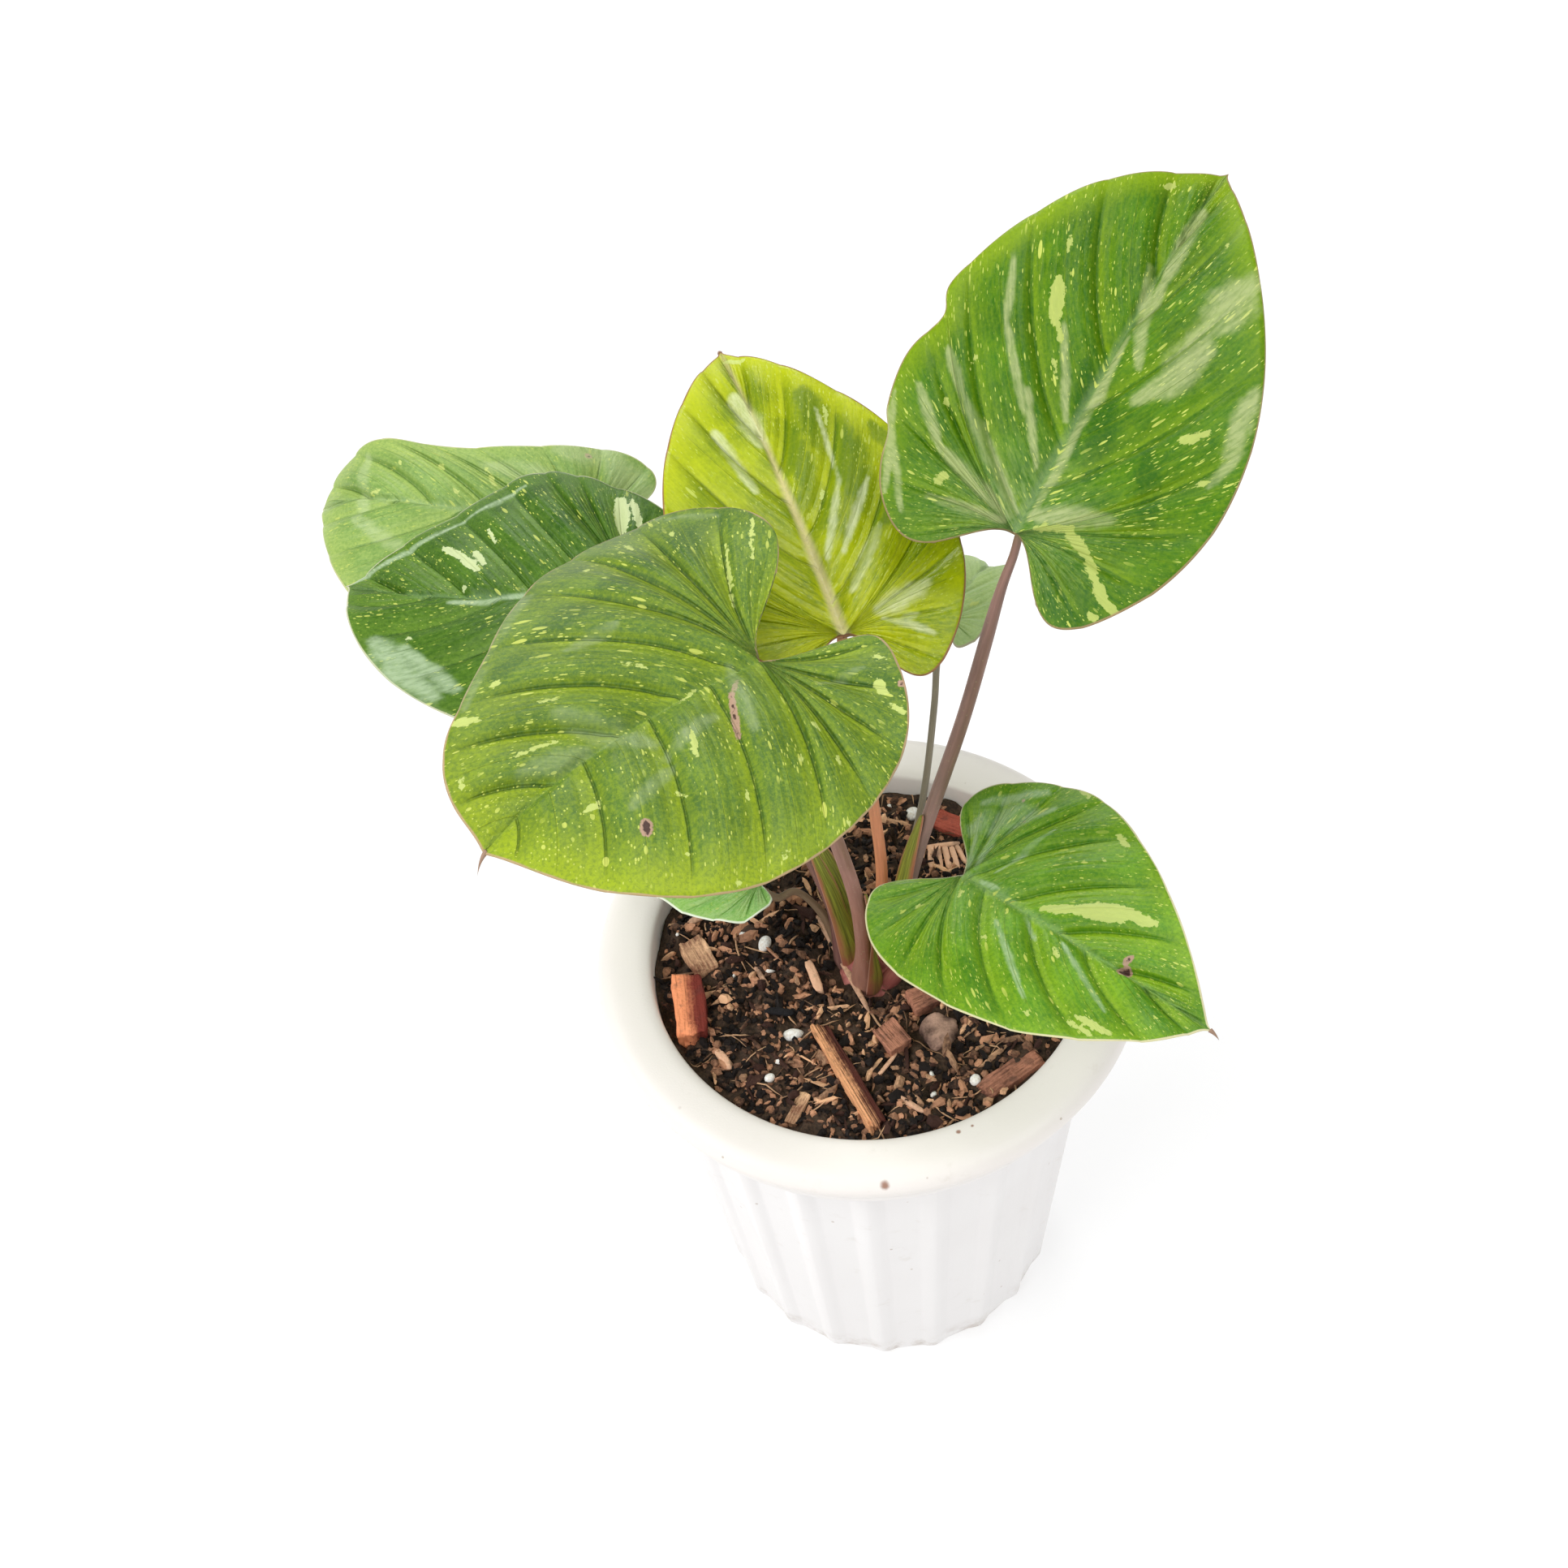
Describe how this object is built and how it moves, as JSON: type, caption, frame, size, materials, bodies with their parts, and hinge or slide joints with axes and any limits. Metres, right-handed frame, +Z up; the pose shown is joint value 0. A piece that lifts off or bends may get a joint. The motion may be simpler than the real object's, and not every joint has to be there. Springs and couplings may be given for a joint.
{
  "type": "potted aroid houseplant",
  "caption": "Variegated homalomena houseplant: heart-shaped flecked blades on long reddish stalks, rising from one crown in a ribbed white pot of bark and coir mix.",
  "frame": {"origin": "middle of the pot's flat base, on the surface that it stands on", "axes": "+Z up along the pot's axis, -Y towards the viewer's side, where the broad leaf and the low leaf lean, +X to the viewer's right"},
  "size_m": [0.3341, 0.2887, 0.4303],
  "materials": {
    "pot_plastic": "satin white injection-moulded plastic with a cream tint and light dirt",
    "potting_mix": "damp dark coir, bark fines and fibres",
    "crown_tissue": "smooth dark pinkish red",
    "blade_tall_right": "satin mid green with fine yellow-green flecks along the veins and pale patches",
    "blade_young_middle": "glossy young yellow green with a purple-brown margin",
    "blade_broad_front": "satin green turning yellow green near the margin, flecked",
    "blade_low_right": "satin green with cream-yellow patches and a pale margin",
    "blade_left": "satin dark green with pale patches and a cream highlight at the margin",
    "blade_far_left": "satin pale green",
    "blade_small_behind": "satin pale bluish green",
    "blade_small_low": "glossy green with a white margin",
    "stalk_mauve": "smooth mauve brown",
    "stalk_pink": "smooth reddish pink",
    "stalk_brown": "smooth brown",
    "stalk_thin": "smooth grey green to grey brown",
    "sheath_green": "thin olive-green tissue with red edges",
    "bark_red": "rough orange-red bark with a dark side",
    "bark_tan": "rough tan split bark",
    "bark_dark": "rough red-brown bark",
    "clod": "crumbly dark clod",
    "perlite": "chalky white expanded grain"
  },
  "bodies": {
    "root": {"pot": "pot_plastic", "soil": "potting_mix", "crown": "crown_tissue", "leaf_tall_right_blade": "blade_tall_right", "leaf_tall_right_stalk": "stalk_mauve", "leaf_tall_right_sheath": "sheath_green", "leaf_young_middle_blade": "blade_young_middle", "leaf_young_middle_stalk": "stalk_pink", "leaf_broad_front_blade": "blade_broad_front", "leaf_broad_front_stalk": "stalk_mauve", "leaf_broad_front_sheath": "sheath_green", "leaf_low_right_blade": "blade_low_right", "leaf_low_right_stalk": "stalk_pink", "leaf_left_blade": "blade_left", "leaf_left_stalk": "stalk_brown", "leaf_left_sheath": "sheath_green", "leaf_far_left_blade": "blade_far_left", "leaf_far_left_stalk": "stalk_brown", "leaf_far_left_sheath": "sheath_green", "leaf_small_behind_blade": "blade_small_behind", "leaf_small_behind_stalk": "stalk_thin", "leaf_small_low_blade": "blade_small_low", "leaf_small_low_stalk": "stalk_thin", "bark_red": "bark_red", "bark_tan": "bark_tan", "bark_split": "bark_tan", "bark_middle": "bark_dark", "bark_front": "bark_dark", "bark_rim": "bark_dark", "bark_back": "bark_red", "bark_pale": "bark_tan", "clod": "clod", "perlite_left": "perlite", "perlite_middle": "perlite", "perlite_front": "perlite", "perlite_right": "perlite", "perlite_back": "perlite"}
  },
  "joints": []
}
